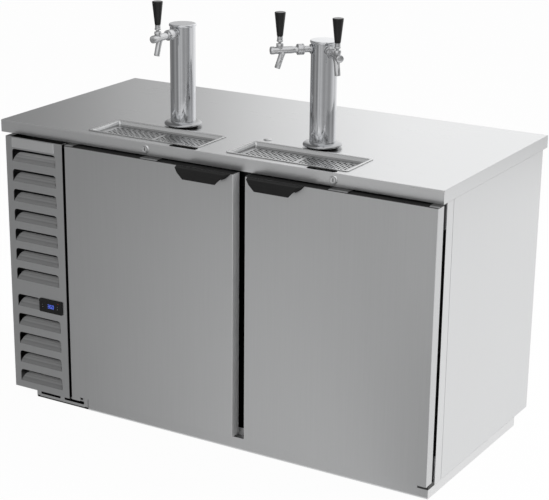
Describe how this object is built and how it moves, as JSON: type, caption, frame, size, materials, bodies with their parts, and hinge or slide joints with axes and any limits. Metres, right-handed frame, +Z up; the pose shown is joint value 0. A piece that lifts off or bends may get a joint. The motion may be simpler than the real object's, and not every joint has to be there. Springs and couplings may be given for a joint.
{
  "type": "draft beer cooler",
  "caption": "Under-counter draft beer cooler with two hinged doors, a louvered machine bay, drip trays with lift-out grates and columns carrying faucets with tall black handles",
  "frame": {"origin": "bottom centre of the overall box: midway along the worktop, midway between the foremost point of the door handles and the rear edge of the worktop, on the floor", "axes": "+X to the right along the worktop as seen from the doors, +Y to the back, +Z up"},
  "size_m": [1.495, 0.7746, 1.284],
  "materials": {
    "stainless_sheet": "brushed",
    "polished_chrome": "polished",
    "black_plastic": "fine texture",
    "black_rubber": "matte",
    "fin_aluminium": "mill",
    "black_paint": "satin",
    "liner_sheet": "stucco embossed"
  },
  "bodies": {
    "cabinet": {"base_frame": "stainless_sheet", "lower_bracket": "stainless_sheet", "floor_panel": "liner_sheet", "back_panel": "liner_sheet", "partition_panel": "liner_sheet", "right_side_panel": "stainless_sheet", "left_side_panel": "stainless_sheet", "ceiling_panel": "liner_sheet", "center_post": "black_plastic", "worktop": "stainless_sheet", "hole_plug": "stainless_sheet", "louver_panel": "stainless_sheet", "name_plate": "stainless_sheet", "temperature_controller": "black_plastic", "rear_grille": "stainless_sheet", "cord_bushing": "black_rubber", "compressor": "black_paint", "condenser_coil": "fin_aluminium", "condenser_fan_shroud": "black_paint", "evaporator": "fin_aluminium", "left_drip_tray": "stainless_sheet", "right_drip_tray": "stainless_sheet", "left_tower": "polished_chrome", "right_tower": "polished_chrome", "left_tower_gasket": "black_rubber", "right_tower_gasket": "black_rubber", "left_shank": "polished_chrome", "center_shank": "polished_chrome", "right_shank": "polished_chrome", "left_faucet": "polished_chrome", "center_faucet": "polished_chrome", "right_faucet": "polished_chrome", "left_top_hinge": "stainless_sheet", "left_bottom_hinge": "stainless_sheet", "right_top_hinge": "stainless_sheet", "right_bottom_hinge": "stainless_sheet", "left_lock_barrel": "polished_chrome", "right_lock_barrel": "polished_chrome"},
    "left_door_body": {"left_door": "stainless_sheet", "left_door_cap": "black_plastic", "left_door_gasket": "black_rubber", "left_door_handle": "black_plastic", "left_strike_plate": "stainless_sheet"},
    "right_door_body": {"right_door": "stainless_sheet", "right_door_cap": "black_plastic", "right_door_gasket": "black_rubber", "right_door_handle": "black_plastic", "right_strike_plate": "stainless_sheet"},
    "left_lock": {"left_lock_plug": "polished_chrome"},
    "left_grate_body": {"left_grate": "stainless_sheet"},
    "right_lock": {"right_lock_plug": "polished_chrome"},
    "right_grate_body": {"right_grate": "stainless_sheet"},
    "left_tap": {"left_tap_lever": "polished_chrome", "left_tap_knob": "black_plastic"},
    "center_tap": {"center_tap_lever": "polished_chrome", "center_tap_knob": "black_plastic"},
    "right_tap": {"right_tap_lever": "polished_chrome", "right_tap_knob": "black_plastic"},
    "condenser_fan_body": {"condenser_fan": "black_plastic"},
    "evaporator_fan_body": {"evaporator_fan": "black_plastic"}
  },
  "joints": [
    {"name": "left_door_hinge", "type": "hinge", "parent": "cabinet", "child": "left_door_body", "pos_m": [-0.4697, -0.34175, 0.042], "axis": [0, 0, -1], "range_deg": [0, 100]},
    {"name": "right_door_hinge", "type": "hinge", "parent": "cabinet", "child": "right_door_body", "pos_m": [0.7355, -0.34175, 0.042], "axis": [0, 0, 1], "range_deg": [0, 100]},
    {"name": "left_lock_turn", "type": "hinge", "parent": "cabinet", "child": "left_lock", "pos_m": [-0.20848, -0.32575, 0.8695], "axis": [0, 1, 0], "range_deg": [0, 90]},
    {"name": "left_grate_lift", "type": "slide", "parent": "cabinet", "child": "left_grate_body", "axis": [0, 0, 1], "range_m": [0, 0.05]},
    {"name": "right_lock_turn", "type": "hinge", "parent": "cabinet", "child": "right_lock", "pos_m": [0.41613, -0.32575, 0.8695], "axis": [0, 1, 0], "range_deg": [0, 90]},
    {"name": "right_grate_lift", "type": "slide", "parent": "cabinet", "child": "right_grate_body", "axis": [0, 0, 1], "range_m": [0, 0.05]},
    {"name": "left_tap_pull", "type": "hinge", "parent": "cabinet", "child": "left_tap", "pos_m": [-0.22948, -0.22375, 1.189], "axis": [1, 0, 0], "range_deg": [0, 32]},
    {"name": "center_tap_pull", "type": "hinge", "parent": "cabinet", "child": "center_tap", "pos_m": [0.15954, -0.18567, 1.189], "axis": [0.7071, -0.7071, 0], "range_deg": [0, 32]},
    {"name": "right_tap_pull", "type": "hinge", "parent": "cabinet", "child": "right_tap", "pos_m": [0.34338, -0.18567, 1.189], "axis": [0.7071, 0.7071, 0], "range_deg": [0, 32]},
    {"name": "condenser_fan_spin", "type": "hinge", "parent": "cabinet", "child": "condenser_fan_body", "pos_m": [-0.58825, -0.20215, 0.1623], "axis": [0, 1, 0], "continuous": true},
    {"name": "evaporator_fan_spin", "type": "hinge", "parent": "cabinet", "child": "evaporator_fan_body", "pos_m": [-0.3873, 0.02625, 0.6957], "axis": [1, 0, 0], "continuous": true}
  ]
}
